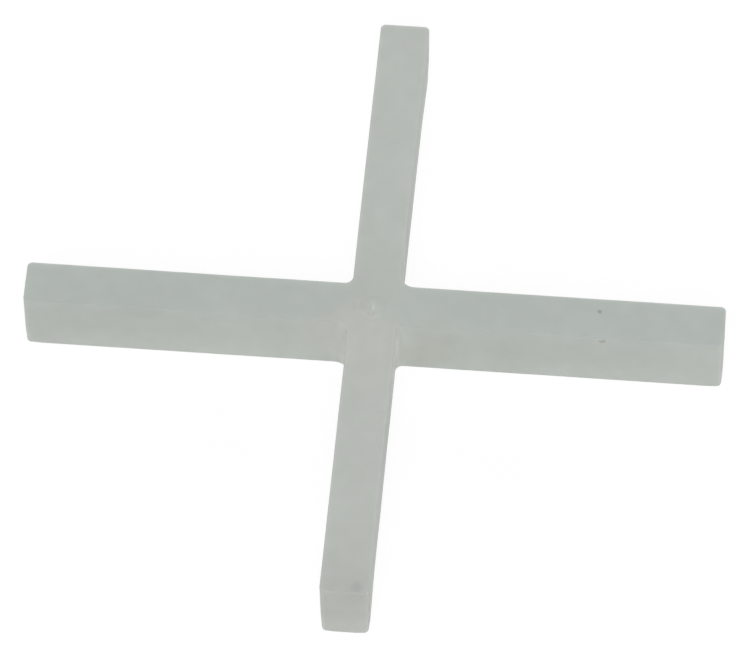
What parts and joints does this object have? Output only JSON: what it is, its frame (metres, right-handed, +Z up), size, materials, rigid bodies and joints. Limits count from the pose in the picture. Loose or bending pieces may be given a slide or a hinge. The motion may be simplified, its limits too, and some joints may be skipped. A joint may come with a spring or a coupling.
{
  "type": "tile spacer",
  "caption": "Cross-shaped tile spacer moulded in one piece from milky plastic: equal straight legs, drafted walls, filleted inner corners and a dished gate mark at the centre.",
  "frame": {"origin": "centre of the flat underside, under the crossing of the legs", "axes": "+Z up, out of the wide top face that carries the gate mark; the legs lie along X and Y"},
  "size_m": [0.03, 0.03, 0.0031],
  "materials": {
    "natural_polyethylene": "satin, milky and slightly translucent, as moulded"
  },
  "bodies": {
    "root": {"tile_spacer": "natural_polyethylene"}
  },
  "joints": []
}
